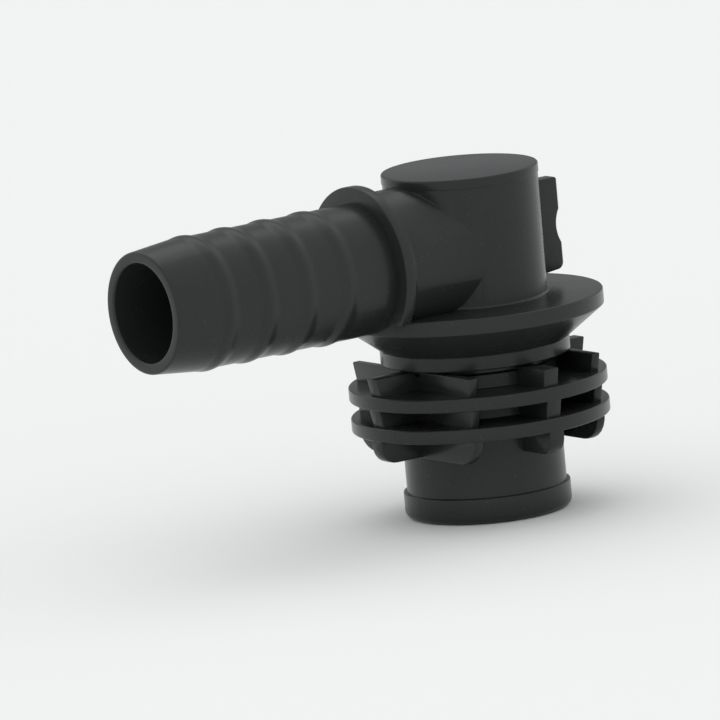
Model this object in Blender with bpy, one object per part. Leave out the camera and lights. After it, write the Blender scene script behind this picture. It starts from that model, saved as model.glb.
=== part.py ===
"""Swivel hose-tail fill valve on a finned push-in plug. Metres, +Z up.

The origin is where the plug's axis meets the plane of its foot. The hose tail points along -X.
"""

import math

import bmesh
import bpy
from mathutils import Matrix, Vector

MM = 0.001

# Clearances
GAP = 0.3 * MM  # between pieces that rest on each other
SEAL_GAP = 0.15 * MM  # between a rubber ring and the walls around it
RUNNING_GAP = 0.25 * MM  # between pieces that turn or slide in each other

# Plug: core tube, foot lip, fins, ribs and side plates
FOOT_LIP_RADIUS = 12.75 * MM
FOOT_LIP_HEIGHT = 4.05 * MM
FOOT_ROUND = 1.2 * MM
CORE_RADIUS = 12.2 * MM
FIN_RADIUS = 19.75 * MM
FIN_THICKNESS = 2.15 * MM
FIN_GAP = 2.6 * MM
LOWER_FIN_BASE = 13.95 * MM
RIB_INSET = 0.1 * MM  # ribs end this far inside the fins' edge
RIB_THICKNESS = 2.6 * MM
RIB_RISE = 2.85 * MM  # above the upper fin
RIB_DROP = 3.5 * MM  # below the lower fin
RIB_CORNER = 2.6 * MM
RIB_LEAN = 0.6 * MM  # how far a rib's outer edge leans in between two fins
PLATE_THICKNESS = 1.5 * MM
PLATE_DROP = 3.8 * MM  # below the lower fin
PLATE_CORNER = 3.4 * MM
PLATE_PROUD = 0.05 * MM  # the side plates' outer faces stand this far outside the core

# Elbow: neck, cone, flange, valve housing and its bores
NECK_RADIUS = 14.5 * MM
NECK_HEIGHT = 2.25 * MM
CONE_HEIGHT = 4.4 * MM
FLANGE_RADIUS = 20.2 * MM
FLANGE_THICKNESS = 2.35 * MM
HOUSING_RADIUS = 11.8 * MM
HOUSING_BORE = 9.4 * MM
HOUSING_RISE = 10.9 * MM  # above the hose tail's axis
HOUSING_FLOOR_DEPTH = 1.75 * MM  # below the flange's top face
TAIL_AXIS_RISE = 7.7 * MM  # above the flange's top face

# Hose tail
TAIL_LENGTH = 60.1 * MM  # from the housing's axis to the tip
TAIL_RADIUS = 10.1 * MM
TAIL_BORE = 7.62 * MM
TIP_RADIUS = 9.34 * MM
LEAD_LENGTH = 7.2 * MM
BARB_COUNT = 4
BARB_PITCH = 7.27 * MM
BARB_HEIGHT = 0.3 * MM
BARB_LENGTH = 3.8 * MM
FIRST_BARB = 9.15 * MM  # crest, from the tip
COLLAR_RADIUS = 12.6 * MM
COLLAR_THICKNESS = 2.0 * MM
COLLAR_FACE = 20.2 * MM  # front face, from the housing's axis
COLLAR_FILLET = 0.4 * MM  # behind the collar
COLLAR_DRAFT = 0.1 * MM  # slope of the collar's back face
COLLAR_SINK = 0.25 * MM  # how far the collar's flat foot lies below the flange's top face
LINK_RADIUS = 11.1 * MM  # pipe between the collar and the housing

# Rear thumb rib
THUMB_REACH = 17.05 * MM
THUMB_THICKNESS = 2.6 * MM
THUMB_TOP = 8.2 * MM  # above the hose tail's axis
THUMB_BOTTOM = 5.9 * MM  # below the hose tail's axis
THUMB_ROUND = 1.1 * MM
THUMB_SLOPE = 0.6 * MM  # the lower edge falls this much towards the housing
THUMB_NOTCH_DEPTH = 0.7 * MM
THUMB_NOTCH_LENGTH = 5.2 * MM
THUMB_NOTCH_RISE = 0.7 * MM  # notch centre above the hose tail's axis

# Swivel stem, its seals and its lock ring
STEM_RADIUS = 9.65 * MM
STEM_WALL = 2.85 * MM
STEM_LENGTH = 8.35 * MM
RING_GROOVE_DEPTH = 1.45 * MM
RING_GROOVE_WIDTH = 1.8 * MM
UPPER_RING_DEPTH = 2.1 * MM  # groove centre below the neck
RING_SPACING = 2.6 * MM
LOCK_DEPTH = 6.85 * MM  # groove centre below the neck
LOCK_THICKNESS = 0.9 * MM
LOCK_GROOVE_DEPTH = 1.05 * MM  # in the stem
LOCK_GROOVE_REACH = 1.05 * MM  # depth of the groove in the plug's socket
LOCK_SPLIT = 2.4 * MM
WASHER_THICKNESS = 0.6 * MM

# Top cap
CAP_OVERHANG = 0.2 * MM  # the cap's rim stands this far outside the housing
CAP_THICKNESS = 1.2 * MM
CAP_SKIRT_LENGTH = 2.9 * MM
CAP_SKIRT_WALL = 2.2 * MM
CAP_RING_SECTION = 1.2 * MM

# Valve cartridge in the plug
LEDGE_TOP = 13.4 * MM
LEDGE_THICKNESS = 0.9 * MM
LEDGE_RADIUS = 7.6 * MM
VALVE_BORE = 9.6 * MM
FLOW_WASHER_THICKNESS = 1.5 * MM
FLOW_HOLE = 3.4 * MM
SEAT_HEIGHT = 2.5 * MM
SEAT_HOLE = 5.2 * MM
SEAT_BEAD = 0.3 * MM
SEAT_RING_SECTION = 1.1 * MM
SEAT_FLANGE = 0.6 * MM  # wall on each side of the seat's ring groove
POPPET_RADIUS = 7.0 * MM
POPPET_THICKNESS = 1.1 * MM
POPPET_STEM = 1.4 * MM
POPPET_STUD = 1.6 * MM
STUD_HEAD = 2.4 * MM
STUD_HEAD_HEIGHT = 0.6 * MM
SEAL_RADIUS = 6.7 * MM
SEAL_THICKNESS = 1.0 * MM
SEAL_WASHER_RADIUS = 4.2 * MM
SEAL_WASHER_THICKNESS = 0.6 * MM
POPPET_TRAVEL = 1.6 * MM
STEM_FOOT_CLEARANCE = 0.4 * MM  # under the poppet's stem, valve open
GUIDE_BASE = 1.4 * MM
GUIDE_THICKNESS = 1.0 * MM
GUIDE_RIM = 1.0 * MM
GUIDE_HUB_RADIUS = 2.6 * MM
GUIDE_HUB_HEIGHT = 1.2 * MM
GUIDE_ARM = 1.2 * MM
SLEEVE_WALL = 0.75 * MM
SNAP_THICKNESS = 0.5 * MM
SNAP_GROOVE = 0.6 * MM  # depth of the groove in the valve bore
SNAP_WIDTH = 1.1 * MM
SNAP_SPLIT = 5.0 * MM
SPRING_WIRE = 0.45 * MM
SPRING_RADIUS = 2.2 * MM
SPRING_TURNS = 3.5

# Strainer in the housing
STRAINER_FLANGE = 1.0 * MM
STRAINER_DROP = 10.5 * MM
STRAINER_BAR = 0.55 * MM
STRAINER_BARS = 6
STRAINER_RING = 0.8 * MM
SCREEN_WALL = 0.3 * MM

# Levels that follow from the sizes above
UPPER_FIN_BASE = LOWER_FIN_BASE + FIN_THICKNESS + FIN_GAP
UPPER_FIN_TOP = UPPER_FIN_BASE + FIN_THICKNESS
RIB_TOP = UPPER_FIN_TOP + RIB_RISE
RIB_BASE = LOWER_FIN_BASE - RIB_DROP
PLATE_BASE = LOWER_FIN_BASE - PLATE_DROP
RIB_RADIUS = FIN_RADIUS - RIB_INSET
NECK_BASE = RIB_TOP + GAP
CORE_TOP = NECK_BASE - 2 * RUNNING_GAP - WASHER_THICKNESS
CONE_BASE = NECK_BASE + NECK_HEIGHT
RIM_BASE = CONE_BASE + CONE_HEIGHT
FLANGE_TOP = RIM_BASE + FLANGE_THICKNESS
HOUSING_FLOOR = FLANGE_TOP - HOUSING_FLOOR_DEPTH
TAIL_AXIS = FLANGE_TOP + TAIL_AXIS_RISE
HOUSING_TOP = TAIL_AXIS + HOUSING_RISE
CAP_BASE = HOUSING_TOP + GAP
CAP_RADIUS = HOUSING_RADIUS + CAP_OVERHANG
STEM_BASE = NECK_BASE - STEM_LENGTH
STEM_BORE = STEM_RADIUS - STEM_WALL
RING_GROOVE_FLOOR = STEM_RADIUS - RING_GROOVE_DEPTH
LOCK_GROOVE_FLOOR = STEM_RADIUS - LOCK_GROOVE_DEPTH
SOCKET_RADIUS = STEM_RADIUS + RUNNING_GAP
SEAT_TOP = LEDGE_TOP - LEDGE_THICKNESS - GAP
SEAT_BASE = SEAT_TOP - SEAT_HEIGHT
SEAL_TOP = SEAT_BASE - SEAT_BEAD - GAP
SEAL_BASE = SEAL_TOP - SEAL_THICKNESS
POPPET_TOP = SEAL_BASE - SEAL_GAP
POPPET_BASE = POPPET_TOP - POPPET_THICKNESS
GUIDE_TOP = GUIDE_BASE + GUIDE_THICKNESS
SNAP_BASE = GUIDE_BASE - GAP - SNAP_THICKNESS
INSERT_RADIUS = VALVE_BORE - RUNNING_GAP
STEM_END = STEM_FOOT_CLEARANCE + POPPET_TRAVEL

COARSE, ROUND, FINE = 20, 30, 40


def clear_scene():
    for thing in list(bpy.data.objects):
        bpy.data.objects.remove(thing, do_unlink=True)


def material(name, colour, roughness, metallic=0.0):
    made = bpy.data.materials.new(name)
    made.use_nodes = True
    shader = made.node_tree.nodes["Principled BSDF"]
    shader.inputs["Base Color"].default_value = (*colour, 1.0)
    shader.inputs["Roughness"].default_value = roughness
    shader.inputs["Metallic"].default_value = metallic
    made.diffuse_color = (*colour, 1.0)
    return made


def place(mesh_data, name, finish=None, parent=None):
    """Put a finished bmesh in the scene as a named object."""
    bmesh.ops.recalc_face_normals(mesh_data, faces=mesh_data.faces)
    mesh = bpy.data.meshes.new(name)
    mesh_data.to_mesh(mesh)
    mesh_data.free()
    mesh.shade_smooth()
    mesh.set_sharp_from_angle(angle=math.radians(30))
    thing = bpy.data.objects.new(name, mesh)
    bpy.context.scene.collection.objects.link(thing)
    if finish:
        mesh.materials.append(finish)
    if parent:
        thing.parent = parent
        thing.matrix_parent_inverse = parent.matrix_world.inverted()
    return thing


def axis_empty(name, height):
    empty = bpy.data.objects.new(name, None)
    bpy.context.scene.collection.objects.link(empty)
    empty.location = (0, 0, height)
    bpy.context.view_layer.update()
    return empty


def lathe(profile, segments, closed=True):
    """Turn (radius, height) points round Z. An open profile starts and ends on the axis."""
    made = bmesh.new()
    rows = []
    for radius, height in profile:
        if radius < 1e-9:
            rows.append([made.verts.new((0, 0, height))])
            continue
        angles = [math.tau * k / segments for k in range(segments)]
        rows.append([made.verts.new((radius * math.cos(a), radius * math.sin(a), height)) for a in angles])
    pairs = list(zip(rows, rows[1:] + rows[:1])) if closed else list(zip(rows, rows[1:]))
    for low, high in pairs:
        for k in range(segments):
            after = (k + 1) % segments
            if len(low) == 1:
                made.faces.new((low[0], high[k], high[after]))
            elif len(high) == 1:
                made.faces.new((low[k], low[after], high[0]))
            else:
                made.faces.new((low[k], low[after], high[after], high[k]))
    return made


def along_x(made, height):
    """Lay a turned shape down so that its axis runs along -X at this height."""
    made.transform(Matrix.Translation((0, 0, height)) @ Matrix.Rotation(-math.pi / 2, 4, "Y"))
    return made


def box(low, high):
    made = bmesh.new()
    bmesh.ops.create_cube(made, size=1)
    low, high = Vector(low), Vector(high)
    for vertex in made.verts:
        vertex.co = (vertex.co + Vector((0.5, 0.5, 0.5))) * (high - low) + low
    return made


def extrude_outline(outline, half_thickness):
    """An outline of (x, z) points, as thick as twice the half, centred on y = 0."""
    made = bmesh.new()
    face = made.faces.new([made.verts.new((x, -half_thickness, z)) for x, z in outline])
    grown = bmesh.ops.extrude_face_region(made, geom=[face])
    moved = [item for item in grown["geom"] if isinstance(item, bmesh.types.BMVert)]
    bmesh.ops.translate(made, verts=moved, vec=(0, 2 * half_thickness, 0))
    return made


def arc(centre, radius, start, end, steps):
    """Points of an arc, both ends included, with its angles in degrees."""
    angles = [math.radians(start + (end - start) * k / steps) for k in range(steps + 1)]
    return [(centre[0] + radius * math.cos(a), centre[1] + radius * math.sin(a)) for a in angles]


def flat_footed(rows, level):
    """Discs of (radius, distance along -X) round the hose tail's axis, joined and cut flat at a level."""
    made = bmesh.new()
    rings = []
    for radius, along in rows:
        start = math.asin((level - TAIL_AXIS) / radius)
        sweep = math.pi - 2 * start
        angles = [start + sweep * k / ROUND for k in range(ROUND + 1)]
        points = [(-along, radius * math.cos(a), TAIL_AXIS + radius * math.sin(a)) for a in angles]
        rings.append([made.verts.new(point) for point in points])
    for ring, after in zip(rings, rings[1:]):
        for k in range(len(ring)):
            nxt = (k + 1) % len(ring)
            made.faces.new((ring[k], ring[nxt], after[nxt], after[k]))
    made.faces.new(rings[0])
    made.faces.new(list(reversed(rings[-1])))
    return made


def combine(target, other, operation):
    """Join, cut or trim one object with another, which stays in the scene as a guide."""
    step = target.modifiers.new(other.name, "BOOLEAN")
    step.operation = operation
    step.object = other
    step.solver = "EXACT"
    other.hide_render = True
    other.display_type = "WIRE"


def torus(centre_radius, section_radius, height, segments=ROUND, sides=6):
    last = 360 * (sides - 1) / sides
    return lathe(arc((centre_radius, height), section_radius, 0, last, sides - 1), segments)


def tube(inner, outer, low, high, segments=ROUND):
    return lathe([(inner, low), (outer, low), (outer, high), (inner, high)], segments)


def split_ring(inner, outer, low, high, gap, segments=FINE):
    """A flat ring with a gap, as wide as stated at its mid radius, on the +X side."""
    made = bmesh.new()
    half = gap / (inner + outer)
    angles = [half + (math.tau - 2 * half) * k / segments for k in range(segments + 1)]
    corners = [(inner, low), (outer, low), (outer, high), (inner, high)]
    rows = [[made.verts.new((r * math.cos(a), r * math.sin(a), z)) for r, z in corners] for a in angles]
    for row, after in zip(rows, rows[1:]):
        for k in range(4):
            nxt = (k + 1) % 4
            made.faces.new((row[k], row[nxt], after[nxt], after[k]))
    made.faces.new(rows[0])
    made.faces.new(list(reversed(rows[-1])))
    return made


def rib_envelope(base, radius):
    """The turned outline that trims ribs: leaning edges between the fins, round lower corners."""
    lean = RIB_RADIUS - RIB_LEAN
    corner = arc((RIB_RADIUS - radius, base + radius), radius, -90, 0, 4)
    return [
        (0, base),
        *corner,
        (RIB_RADIUS, LOWER_FIN_BASE + FIN_THICKNESS / 3),
        (lean, LOWER_FIN_BASE + 2 * FIN_THICKNESS / 3),
        (lean, LOWER_FIN_BASE + FIN_THICKNESS),
        (RIB_RADIUS, UPPER_FIN_BASE),
        (RIB_RADIUS, UPPER_FIN_BASE + FIN_THICKNESS / 2),
        (lean, UPPER_FIN_TOP - FIN_THICKNESS / 4),
        (lean, UPPER_FIN_TOP),
        (RIB_RADIUS, RIB_TOP),
        (0, RIB_TOP),
    ]


def plug_core():
    """Foot lip, core tube and the two fins, as one closed turned outline to the axis."""
    lip = arc((FOOT_LIP_RADIUS - FOOT_ROUND, FOOT_ROUND), FOOT_ROUND, -90, 0, 3)
    return [
        (0, 0),
        *lip,
        (FOOT_LIP_RADIUS, FOOT_LIP_HEIGHT),
        (CORE_RADIUS, FOOT_LIP_HEIGHT),
        (CORE_RADIUS, LOWER_FIN_BASE),
        (FIN_RADIUS, LOWER_FIN_BASE),
        (FIN_RADIUS, LOWER_FIN_BASE + FIN_THICKNESS),
        (CORE_RADIUS, LOWER_FIN_BASE + FIN_THICKNESS),
        (CORE_RADIUS, UPPER_FIN_BASE),
        (FIN_RADIUS, UPPER_FIN_BASE),
        (FIN_RADIUS, UPPER_FIN_TOP),
        (CORE_RADIUS, UPPER_FIN_TOP),
        (CORE_RADIUS, CORE_TOP),
        (0, CORE_TOP),
    ]


def plug_bore():
    """Snap-ring groove, valve bore, ledge, swivel socket, lock groove and washer seat."""
    lock = NECK_BASE - LOCK_DEPTH
    half_lock = LOCK_THICKNESS / 2 + SEAL_GAP
    snap_low, snap_high = SNAP_BASE - SEAL_GAP, SNAP_BASE + SNAP_THICKNESS + SEAL_GAP
    washer_recess = CORE_RADIUS + RUNNING_GAP
    return [
        (0, -1 * MM),
        (VALVE_BORE, -1 * MM),
        (VALVE_BORE, snap_low),
        (VALVE_BORE + SNAP_GROOVE, snap_low),
        (VALVE_BORE + SNAP_GROOVE, snap_high),
        (VALVE_BORE, snap_high),
        (VALVE_BORE, LEDGE_TOP - LEDGE_THICKNESS),
        (LEDGE_RADIUS, LEDGE_TOP - LEDGE_THICKNESS),
        (LEDGE_RADIUS, LEDGE_TOP),
        (SOCKET_RADIUS, LEDGE_TOP),
        (SOCKET_RADIUS, lock - half_lock),
        (SOCKET_RADIUS + LOCK_GROOVE_REACH, lock - half_lock),
        (SOCKET_RADIUS + LOCK_GROOVE_REACH, lock + half_lock),
        (SOCKET_RADIUS, lock + half_lock),
        (SOCKET_RADIUS, CORE_TOP),
        (washer_recess, CORE_TOP),
        (washer_recess, RIB_TOP + 1 * MM),
        (0, RIB_TOP + 1 * MM),
    ]


def make_plug_body(finish):
    reach = FIN_RADIUS + 1 * MM
    half = RIB_THICKNESS / 2
    outer = CORE_RADIUS + PLATE_PROUD
    inner = outer - PLATE_THICKNESS
    ribs = place(box((-reach, -half, RIB_BASE), (reach, half, RIB_TOP)), "guide_rib_x")
    cross = place(box((-half, -reach, RIB_BASE), (half, reach, RIB_TOP)), "guide_rib_y")
    combine(ribs, cross, "UNION")
    plates = []
    for side, low, high in (("front", -outer, -inner), ("back", inner, outer)):
        plates.append(place(box((low, -reach, PLATE_BASE), (high, reach, RIB_TOP)), f"guide_plate_{side}"))
    trims = [(ribs, RIB_BASE, RIB_CORNER)] + [(plate, PLATE_BASE, PLATE_CORNER) for plate in plates]
    for wall, base, corner in trims:
        envelope = place(lathe(rib_envelope(base, corner), FINE, closed=False), f"guide_trim_{wall.name}")
        combine(wall, envelope, "INTERSECT")
    body = place(lathe(plug_core(), FINE, closed=False), "plug_body", finish)
    bore = place(lathe(plug_bore(), FINE, closed=False), "guide_plug_bore")
    for wall in (ribs, *plates):
        combine(body, wall, "UNION")
    combine(body, bore, "DIFFERENCE")
    return body


def elbow_outline():
    """Swivel stem with its three grooves, neck, cone, flange and housing, to the axis."""
    half_ring = RING_GROOVE_WIDTH / 2
    half_lock = LOCK_THICKNESS / 2 + SEAL_GAP
    points = [(0, STEM_BASE), (STEM_RADIUS, STEM_BASE)]
    grooves = [(LOCK_DEPTH, half_lock, LOCK_GROOVE_FLOOR)]
    for depth in (UPPER_RING_DEPTH + RING_SPACING, UPPER_RING_DEPTH):
        grooves.append((depth, half_ring, RING_GROOVE_FLOOR))
    for depth, half, floor in grooves:
        low, high = NECK_BASE - depth - half, NECK_BASE - depth + half
        points += [(STEM_RADIUS, low), (floor, low), (floor, high), (STEM_RADIUS, high)]
    points += [
        (STEM_RADIUS, NECK_BASE),
        (NECK_RADIUS, NECK_BASE),
        (NECK_RADIUS, CONE_BASE),
        (FLANGE_RADIUS, RIM_BASE),
        (FLANGE_RADIUS, FLANGE_TOP),
        (HOUSING_RADIUS, FLANGE_TOP),
        (HOUSING_RADIUS, HOUSING_TOP),
        (0, HOUSING_TOP),
    ]
    return points


def elbow_bore():
    """Stem bore, strainer shoulder and housing chamber, open at both ends."""
    return [
        (0, STEM_BASE - 1 * MM),
        (STEM_BORE, STEM_BASE - 1 * MM),
        (STEM_BORE, HOUSING_FLOOR),
        (HOUSING_BORE, HOUSING_FLOOR),
        (HOUSING_BORE, HOUSING_TOP + 1 * MM),
        (0, HOUSING_TOP + 1 * MM),
    ]


def barb(crest):
    """One barb's points from its tip side to its root side: a low round ring."""
    steps = ((-0.48, 0), (-0.28, 0.6), (-0.08, 1), (0.1, 0.96), (0.3, 0.5), (0.52, 0))
    return [(TAIL_RADIUS + BARB_HEIGHT * rise, crest - BARB_LENGTH * along) for along, rise in steps]


def tail_outline():
    """The hose tail from the housing to its tip, as radius and distance from the housing's axis."""
    points = [(0, 0), (TAIL_RADIUS, 0)]
    for number in reversed(range(BARB_COUNT)):
        crest = TAIL_LENGTH - FIRST_BARB - number * BARB_PITCH
        points += reversed(barb(crest))
    points += [(TAIL_RADIUS, TAIL_LENGTH - LEAD_LENGTH), (TIP_RADIUS, TAIL_LENGTH), (0, TAIL_LENGTH)]
    return points


def thumb_outline():
    """Side view of the rear rib: a shallow concave notch and a round lower corner."""
    inside = (HOUSING_BORE + HOUSING_RADIUS) / 2
    top, bottom = TAIL_AXIS + THUMB_TOP, TAIL_AXIS - THUMB_BOTTOM
    half = THUMB_NOTCH_LENGTH / 2
    radius = (half**2 + THUMB_NOTCH_DEPTH**2) / (2 * THUMB_NOTCH_DEPTH)
    sweep = math.degrees(math.asin(half / radius))
    centre = (THUMB_REACH - THUMB_NOTCH_DEPTH + radius, TAIL_AXIS + THUMB_NOTCH_RISE)
    return [
        (inside, bottom - THUMB_SLOPE),
        (HOUSING_RADIUS, bottom - THUMB_SLOPE),
        *arc((THUMB_REACH - THUMB_ROUND, bottom + THUMB_ROUND), THUMB_ROUND, -90, 0, 4),
        *arc(centre, radius, 180 + sweep, 180 - sweep, 6),
        *arc((THUMB_REACH - THUMB_ROUND / 3, top - THUMB_ROUND / 3), THUMB_ROUND / 3, 0, 90, 2),
        (inside, top),
    ]


def make_elbow_body(finish, swivel):
    body = place(lathe(elbow_outline(), FINE, closed=False), "elbow_body", finish, swivel)
    tail = place(along_x(lathe(tail_outline(), FINE, closed=False), TAIL_AXIS), "guide_tail")
    back = COLLAR_FACE - COLLAR_THICKNESS
    rows = [(LINK_RADIUS, 0), (LINK_RADIUS, back - COLLAR_FILLET), (LINK_RADIUS + COLLAR_FILLET / 2, back),
            (COLLAR_RADIUS, back + COLLAR_DRAFT), (COLLAR_RADIUS, COLLAR_FACE)]
    link = place(flat_footed(rows, FLANGE_TOP - COLLAR_SINK), "guide_collar")
    thumb = place(extrude_outline(thumb_outline(), THUMB_THICKNESS / 2), "guide_thumb_rib")
    bore = place(lathe(elbow_bore(), FINE, closed=False), "guide_elbow_bore")
    passage = lathe([(0, 0), (TAIL_BORE, 0), (TAIL_BORE, TAIL_LENGTH + 1 * MM), (0, TAIL_LENGTH + 1 * MM)],
                    ROUND, closed=False)
    tail_bore = place(along_x(passage, TAIL_AXIS), "guide_tail_bore")
    combine(body, link, "UNION")
    combine(body, tail, "UNION")
    combine(body, thumb, "UNION")
    combine(body, bore, "DIFFERENCE")
    combine(body, tail_bore, "DIFFERENCE")
    return body


def make_cap(finish, rubber, swivel):
    skirt = HOUSING_BORE - RUNNING_GAP
    floor = HOUSING_BORE - CAP_RING_SECTION - 2 * SEAL_GAP
    low = CAP_BASE - CAP_SKIRT_LENGTH
    middle = low + CAP_SKIRT_LENGTH / 2 - GAP / 2
    half = CAP_RING_SECTION / 2 + SEAL_GAP
    inner = skirt - CAP_SKIRT_WALL
    top = CAP_BASE + CAP_THICKNESS
    edge = CAP_THICKNESS / 4
    outline = [
        (0, CAP_BASE), (inner, CAP_BASE), (inner, low), (skirt, low),
        (skirt, middle - half), (floor, middle - half), (floor, middle + half), (skirt, middle + half),
        (skirt, CAP_BASE), (CAP_RADIUS, CAP_BASE), (CAP_RADIUS, top - edge), (CAP_RADIUS - edge, top),
        (0, top),
    ]
    place(lathe(outline, FINE, closed=False), "top_cap", finish, swivel)
    ring = torus(floor + SEAL_GAP + CAP_RING_SECTION / 2, CAP_RING_SECTION / 2, middle)
    place(ring, "cap_o_ring", rubber, swivel)


def make_swivel_pieces(black, rubber, acetal, swivel):
    section = (SOCKET_RADIUS - RING_GROOVE_FLOOR) / 2 - SEAL_GAP
    middle = (SOCKET_RADIUS + RING_GROOVE_FLOOR) / 2
    for name, depth in (("upper", UPPER_RING_DEPTH), ("lower", UPPER_RING_DEPTH + RING_SPACING)):
        place(torus(middle, section, NECK_BASE - depth), f"swivel_o_ring_{name}", rubber, swivel)
    lock = NECK_BASE - LOCK_DEPTH
    inner = LOCK_GROOVE_FLOOR + RUNNING_GAP
    outer = SOCKET_RADIUS + LOCK_GROOVE_REACH - RUNNING_GAP
    half = LOCK_THICKNESS / 2
    place(split_ring(inner, outer, lock - half, lock + half, LOCK_SPLIT), "swivel_lock_ring", acetal)
    low = CORE_TOP + RUNNING_GAP
    washer = tube(STEM_RADIUS + RUNNING_GAP, CORE_RADIUS, low, low + WASHER_THICKNESS)
    place(washer, "thrust_washer", black)


def make_seat(acetal, rubber):
    place(tube(FLOW_HOLE, SOCKET_RADIUS - GAP, LEDGE_TOP + GAP, LEDGE_TOP + GAP + FLOW_WASHER_THICKNESS),
          "flow_washer", rubber)
    floor = VALVE_BORE - SEAT_RING_SECTION - 2 * SEAL_GAP
    bead = SEAT_HOLE + 2 * SEAT_BEAD
    outline = [
        (SEAT_HOLE, SEAT_BASE - SEAT_BEAD), (bead, SEAT_BASE - SEAT_BEAD), (bead, SEAT_BASE),
        (INSERT_RADIUS, SEAT_BASE), (INSERT_RADIUS, SEAT_BASE + SEAT_FLANGE),
        (floor, SEAT_BASE + SEAT_FLANGE),
        (floor, SEAT_TOP - SEAT_FLANGE), (INSERT_RADIUS, SEAT_TOP - SEAT_FLANGE), (INSERT_RADIUS, SEAT_TOP),
        (SEAT_HOLE, SEAT_TOP),
    ]
    place(lathe(outline, ROUND), "seat_ring", acetal)
    section = SEAT_RING_SECTION / 2
    place(torus(floor + SEAL_GAP + section, section, (SEAT_BASE + SEAT_TOP) / 2), "seat_o_ring", rubber)


def make_poppet(acetal, rubber, steel, lift):
    washer_base = SEAL_TOP + SEAL_GAP
    head_base = washer_base + SEAL_WASHER_THICKNESS + SEAL_GAP
    outline = [
        (0, STEM_END), (POPPET_STEM, STEM_END), (POPPET_STEM, POPPET_BASE), (POPPET_RADIUS, POPPET_BASE),
        (POPPET_RADIUS, POPPET_TOP), (POPPET_STUD, POPPET_TOP), (POPPET_STUD, head_base),
        (STUD_HEAD, head_base),
        (STUD_HEAD, head_base + STUD_HEAD_HEIGHT), (0, head_base + STUD_HEAD_HEIGHT),
    ]
    place(lathe(outline, COARSE, closed=False), "poppet", acetal, lift)
    hole = POPPET_STUD + SEAL_GAP
    place(tube(hole, SEAL_RADIUS, SEAL_BASE, SEAL_TOP), "poppet_seal", rubber, lift)
    washer = tube(hole, SEAL_WASHER_RADIUS, washer_base, washer_base + SEAL_WASHER_THICKNESS, COARSE)
    place(washer, "poppet_seal_washer", steel, lift)


def make_spring(steel):
    """Round wire wound from the guide's hub to the poppet's underside."""
    wire = SPRING_WIRE / 2
    low = GUIDE_BASE + GUIDE_HUB_HEIGHT + SEAL_GAP + wire
    rise = POPPET_BASE - SEAL_GAP - wire - low
    sides, steps = 6, round(SPRING_TURNS * 14)
    made = bmesh.new()
    rows = []
    for k in range(steps + 1):
        turn = math.tau * SPRING_TURNS * k / steps
        out = Vector((math.cos(turn), math.sin(turn), 0))
        middle = out * SPRING_RADIUS + Vector((0, 0, low + rise * k / steps))
        angles = [math.tau * s / sides for s in range(sides)]
        arms = [out * math.cos(a) + Vector((0, 0, math.sin(a))) for a in angles]
        rows.append([made.verts.new(middle + arm * wire) for arm in arms])
    for row, after in zip(rows, rows[1:]):
        for s in range(sides):
            nxt = (s + 1) % sides
            made.faces.new((row[s], row[nxt], after[nxt], after[s]))
    made.faces.new(rows[0])
    made.faces.new(list(reversed(rows[-1])))
    place(made, "poppet_spring", steel)


def make_guide(acetal, steel):
    rim_inner = INSERT_RADIUS - GUIDE_RIM
    rim = place(tube(rim_inner, INSERT_RADIUS, GUIDE_BASE, GUIDE_TOP), "stem_guide", acetal)
    hub = place(lathe([(0, GUIDE_BASE), (GUIDE_HUB_RADIUS, GUIDE_BASE),
                       (GUIDE_HUB_RADIUS, GUIDE_BASE + GUIDE_HUB_HEIGHT), (0, GUIDE_BASE + GUIDE_HUB_HEIGHT)],
                      COARSE, closed=False), "guide_hub")
    reach, half = rim_inner + GUIDE_RIM / 2, GUIDE_ARM / 2
    lengthwise = place(box((-reach, -half, GUIDE_BASE), (reach, half, GUIDE_TOP)), "guide_arm_x")
    crosswise = place(box((-half, -reach, GUIDE_BASE), (half, reach, GUIDE_TOP)), "guide_arm_y")
    hole_radius = POPPET_STEM + RUNNING_GAP
    hole = place(lathe([(0, 0), (hole_radius, 0), (hole_radius, POPPET_TOP), (0, POPPET_TOP)],
                       COARSE, closed=False), "guide_hub_hole")
    for piece in (lengthwise, crosswise, hub):
        combine(rim, piece, "UNION")
    combine(rim, hole, "DIFFERENCE")
    sleeve = tube(INSERT_RADIUS - SLEEVE_WALL, INSERT_RADIUS, GUIDE_TOP + GAP, SEAT_BASE - GAP)
    place(sleeve, "spacer_sleeve", acetal)
    outer = VALVE_BORE + SNAP_GROOVE - RUNNING_GAP
    snap = split_ring(outer - SNAP_WIDTH, outer, SNAP_BASE, SNAP_BASE + SNAP_THICKNESS, SNAP_SPLIT)
    place(snap, "guide_snap_ring", steel)


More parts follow.
